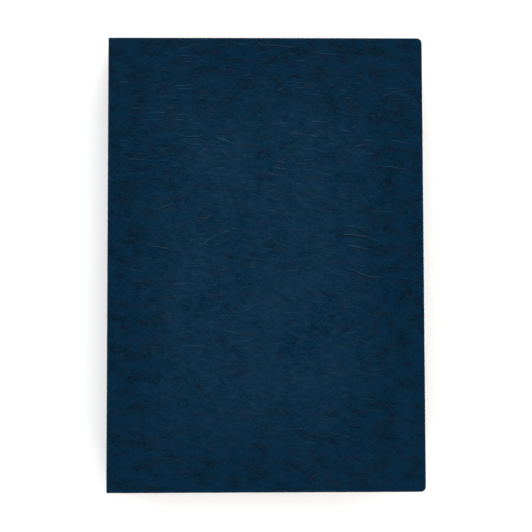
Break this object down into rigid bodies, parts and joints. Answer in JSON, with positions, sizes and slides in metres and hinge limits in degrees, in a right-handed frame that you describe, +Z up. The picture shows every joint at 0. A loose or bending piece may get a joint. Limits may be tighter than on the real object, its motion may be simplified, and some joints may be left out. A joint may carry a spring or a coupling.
{
  "type": "pilot logbook",
  "caption": "Case-bound hardback pilot logbook in dark blue leatherette, with sewn sections of ruled flight record pages; both covers open.",
  "frame": {"origin": "on the resting surface, under the middle of the closed book", "axes": "+X from the spine to the fore edge, +Y from the tail to the head of the page, +Z up through the front cover"},
  "size_m": [0.146, 0.21, 0.0197],
  "materials": {
    "leatherette": "dark blue bonded leatherette, fine grain, satin, lightly creased",
    "greyboard": "raw grey pulp board",
    "card": "uncoated manila card",
    "mull": "open cotton gauze, sized",
    "kraft": "ribbed brown kraft paper",
    "thread": "waxed linen thread",
    "headband": "striped cotton headband",
    "endpaper": "heavy uncoated cream paper",
    "log_paper": "smooth writing paper, ruled"
  },
  "bodies": {
    "back_cover": {"back_cover_skin": "leatherette", "back_board": "greyboard", "back_infill": "card", "back_mull_flange": "mull", "back_pastedown": "endpaper", "back_joint_fold": "leatherette"},
    "text_block": {"spine_skin": "leatherette", "spine_strip": "card", "kraft_lining": "kraft", "mull_lining": "mull", "sewing_thread": "thread", "head_band": "headband", "tail_band": "headband", "front_joint_fold": "leatherette", "front_hinge_paper": "endpaper", "section_04": "log_paper", "section_05": "log_paper", "section_06": "log_paper", "section_07": "log_paper", "section_08": "log_paper", "section_09": "log_paper", "section_10": "log_paper", "back_flyleaf": "endpaper", "back_hinge_paper": "endpaper"},
    "front_cover": {"front_cover_skin": "leatherette", "front_board": "greyboard", "front_infill": "card", "front_mull_flange": "mull", "front_pastedown": "endpaper"},
    "front_free_endpaper": {"front_flyleaf": "endpaper"},
    "first_section": {"section_01": "log_paper"},
    "second_section": {"section_02": "log_paper"},
    "third_section": {"section_03": "log_paper"}
  },
  "joints": [
    {"name": "back_cover_open", "type": "hinge", "parent": "back_cover", "child": "text_block", "pos_m": [-0.0723, 0, 0.00275], "axis": [0, 1, 0], "range_deg": [-90, 0], "deforming": ["back_joint_fold"]},
    {"name": "front_cover_open", "type": "hinge", "parent": "text_block", "child": "front_cover", "pos_m": [-0.0723, 0, 0.01695], "axis": [0, -1, 0], "range_deg": [0, 185], "deforming": ["front_joint_fold"]},
    {"name": "front_free_endpaper_turn", "type": "hinge", "parent": "text_block", "child": "front_free_endpaper", "pos_m": [-0.0694, 0, 0.0169], "axis": [0, -1, 0], "range_deg": [0, 178.1]},
    {"name": "first_section_turn", "type": "hinge", "parent": "text_block", "child": "first_section", "pos_m": [-0.0694, 0, 0.0169], "axis": [0, -1, 0], "range_deg": [0, 172.6]},
    {"name": "second_section_turn", "type": "hinge", "parent": "text_block", "child": "second_section", "pos_m": [-0.0694, 0, 0.0169], "axis": [0, -1, 0], "range_deg": [0, 166.1]},
    {"name": "third_section_turn", "type": "hinge", "parent": "text_block", "child": "third_section", "pos_m": [-0.0694, 0, 0.0169], "axis": [0, -1, 0], "range_deg": [0, 159.6]}
  ],
  "couplings": [
    {"joint": "front_free_endpaper_turn", "follows": "front_cover_open", "ratio": 0.96},
    {"joint": "first_section_turn", "follows": "front_cover_open", "ratio": 0.93},
    {"joint": "second_section_turn", "follows": "front_cover_open", "ratio": 0.895},
    {"joint": "third_section_turn", "follows": "front_cover_open", "ratio": 0.86}
  ]
}
